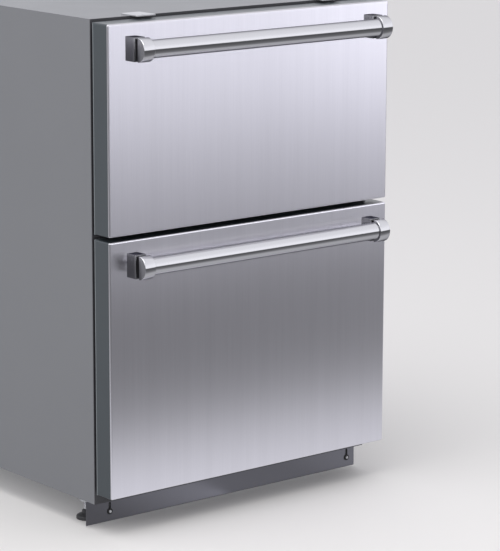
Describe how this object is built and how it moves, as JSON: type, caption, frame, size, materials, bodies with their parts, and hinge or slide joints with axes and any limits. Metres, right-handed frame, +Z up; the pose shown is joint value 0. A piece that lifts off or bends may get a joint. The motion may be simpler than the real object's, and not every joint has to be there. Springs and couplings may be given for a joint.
{
  "type": "undercounter drawer refrigerator",
  "caption": "Undercounter refrigerator with stacked drawers, tube handles, ball-bearing slides, a toe kick and a rear machine bay.",
  "frame": {"origin": "on the floor, at the middle of the footprint that the cabinet and handles cover", "axes": "+Z up, -Y towards the front where the drawers open, +X to the right seen from the front"},
  "size_m": [0.606, 0.657, 0.868],
  "materials": {
    "cabinet_paint": "satin dark grey enamel",
    "galvanised_steel": "zinc-coated sheet",
    "insulation_foam": "rigid foam",
    "liner_plastic": "moulded white",
    "dark_frame_metal": "dark satin enamel",
    "screw_steel": "plated",
    "black_enamel": "black enamel",
    "rubber": "matte",
    "leg_plastic": "moulded black",
    "coil_metal": "mill finish",
    "black_plastic": "moulded black",
    "copper": "drawn copper",
    "lens": "frosted",
    "kick_paint": "dark grey satin",
    "button_plastic": "light grey",
    "brushed_steel": "vertical fine grain",
    "front_back_plastic": "moulded grey",
    "gasket_rubber": "soft vinyl",
    "handle_satin": "satin",
    "handle_polish": "polished tube",
    "box_steel": "satin",
    "cage_brass": "brass-coloured cage"
  },
  "bodies": {
    "cabinet": {"side_panel_left": "cabinet_paint", "side_panel_right": "cabinet_paint", "top_panel": "cabinet_paint", "rear_panel": "galvanised_steel", "base_pan": "galvanised_steel", "foam_insulation": "insulation_foam", "liner": "liner_plastic", "face_frame": "dark_frame_metal", "centre_mullion": "galvanised_steel", "worktop_brackets": "galvanised_steel", "kick_screws": "screw_steel", "compressor": "black_enamel", "compressor_grommets": "rubber", "condenser_coil": "coil_metal", "condenser_fan_motor": "black_plastic", "drip_tray": "black_plastic", "refrigerant_lines": "copper", "evaporator_coil": "coil_metal", "evaporator_cover": "liner_plastic", "evaporator_fan_motor": "black_plastic", "control_panel": "black_plastic", "light_lens": "lens", "drawer_sensors": "liner_plastic", "power_inlet": "black_plastic", "upper_cabinet_slides": "galvanised_steel", "lower_cabinet_slides": "galvanised_steel"},
    "upper_drawer": {"upper_front_skin": "brushed_steel", "upper_front_pan": "front_back_plastic", "upper_front_foam": "insulation_foam", "upper_gasket": "gasket_rubber", "upper_handle_posts": "handle_satin", "upper_handle_caps": "handle_satin", "upper_handle_tube": "handle_polish", "upper_drawer_box": "box_steel", "upper_drawer_slides": "galvanised_steel"},
    "lower_drawer": {"lower_front_skin": "brushed_steel", "lower_front_pan": "front_back_plastic", "lower_front_foam": "insulation_foam", "lower_gasket": "gasket_rubber", "lower_handle_posts": "handle_satin", "lower_handle_caps": "handle_satin", "lower_handle_tube": "handle_polish", "lower_drawer_box": "box_steel", "lower_drawer_slides": "galvanised_steel"},
    "upper_slide_middles": {"upper_middle_slides": "galvanised_steel"},
    "upper_outer_cage_pair": {"upper_outer_cages": "cage_brass"},
    "upper_inner_cage_pair": {"upper_inner_cages": "cage_brass"},
    "lower_slide_middles": {"lower_middle_slides": "galvanised_steel"},
    "lower_outer_cage_pair": {"lower_outer_cages": "cage_brass"},
    "lower_inner_cage_pair": {"lower_inner_cages": "cage_brass"},
    "toe_kick": {"kick_plate": "kick_paint"},
    "front_left_leg": {"leg_front_left": "leg_plastic"},
    "front_right_leg": {"leg_front_right": "leg_plastic"},
    "rear_left_leg": {"leg_rear_left": "leg_plastic"},
    "rear_right_leg": {"leg_rear_right": "leg_plastic"},
    "condenser_fan": {"condenser_fan_blade": "liner_plastic"},
    "evaporator_fan": {"evaporator_fan_blade": "liner_plastic"},
    "colder_key": {"colder_button": "button_plastic"},
    "warmer_key": {"warmer_button": "button_plastic"},
    "light_key": {"light_button": "button_plastic"}
  },
  "joints": [
    {"name": "upper_drawer_slide", "type": "slide", "parent": "cabinet", "child": "upper_drawer", "axis": [0, -1, 0], "range_m": [0, 0.4]},
    {"name": "upper_slide_middles_run", "type": "slide", "parent": "cabinet", "child": "upper_slide_middles", "axis": [0, -1, 0], "range_m": [0, 0.2]},
    {"name": "upper_outer_cage_pair_run", "type": "slide", "parent": "cabinet", "child": "upper_outer_cage_pair", "axis": [0, -1, 0], "range_m": [0, 0.1]},
    {"name": "upper_inner_cage_pair_run", "type": "slide", "parent": "cabinet", "child": "upper_inner_cage_pair", "axis": [0, -1, 0], "range_m": [0, 0.3]},
    {"name": "lower_drawer_slide", "type": "slide", "parent": "cabinet", "child": "lower_drawer", "axis": [0, -1, 0], "range_m": [0, 0.28]},
    {"name": "lower_slide_middles_run", "type": "slide", "parent": "cabinet", "child": "lower_slide_middles", "axis": [0, -1, 0], "range_m": [0, 0.14]},
    {"name": "lower_outer_cage_pair_run", "type": "slide", "parent": "cabinet", "child": "lower_outer_cage_pair", "axis": [0, -1, 0], "range_m": [0, 0.07]},
    {"name": "lower_inner_cage_pair_run", "type": "slide", "parent": "cabinet", "child": "lower_inner_cage_pair", "axis": [0, -1, 0], "range_m": [0, 0.21]},
    {"name": "toe_kick_drop", "type": "slide", "parent": "cabinet", "child": "toe_kick", "axis": [0, 0, -1], "range_m": [0, 0.014]},
    {"name": "front_left_leg_screw", "type": "slide", "parent": "cabinet", "child": "front_left_leg", "axis": [0, 0, -1], "range_m": [0, 0.02]},
    {"name": "front_right_leg_screw", "type": "slide", "parent": "cabinet", "child": "front_right_leg", "axis": [0, 0, -1], "range_m": [0, 0.02]},
    {"name": "rear_left_leg_screw", "type": "slide", "parent": "cabinet", "child": "rear_left_leg", "axis": [0, 0, -1], "range_m": [0, 0.02]},
    {"name": "rear_right_leg_screw", "type": "slide", "parent": "cabinet", "child": "rear_right_leg", "axis": [0, 0, -1], "range_m": [0, 0.02]},
    {"name": "condenser_fan_spin", "type": "hinge", "parent": "cabinet", "child": "condenser_fan", "pos_m": [0.14, 0.1995, 0.163], "axis": [0, 1, 0], "continuous": true},
    {"name": "evaporator_fan_spin", "type": "hinge", "parent": "cabinet", "child": "evaporator_fan", "pos_m": [0, 0.2463, 0.6362], "axis": [0, 1, 0], "continuous": true},
    {"name": "colder_key_press", "type": "slide", "parent": "cabinet", "child": "colder_key", "axis": [0, 1, 0], "range_m": [0, 0.0015], "stiffness_N_per_m": 600, "springref_m": -0.001},
    {"name": "warmer_key_press", "type": "slide", "parent": "cabinet", "child": "warmer_key", "axis": [0, 1, 0], "range_m": [0, 0.0015], "stiffness_N_per_m": 600, "springref_m": -0.001},
    {"name": "light_key_press", "type": "slide", "parent": "cabinet", "child": "light_key", "axis": [0, 1, 0], "range_m": [0, 0.0015], "stiffness_N_per_m": 600, "springref_m": -0.001}
  ],
  "couplings": [
    {"joint": "upper_slide_middles_run", "follows": "upper_drawer_slide", "ratio": 0.5},
    {"joint": "upper_outer_cage_pair_run", "follows": "upper_drawer_slide", "ratio": 0.25},
    {"joint": "upper_inner_cage_pair_run", "follows": "upper_drawer_slide", "ratio": 0.75},
    {"joint": "lower_slide_middles_run", "follows": "lower_drawer_slide", "ratio": 0.5},
    {"joint": "lower_outer_cage_pair_run", "follows": "lower_drawer_slide", "ratio": 0.25},
    {"joint": "lower_inner_cage_pair_run", "follows": "lower_drawer_slide", "ratio": 0.75}
  ]
}
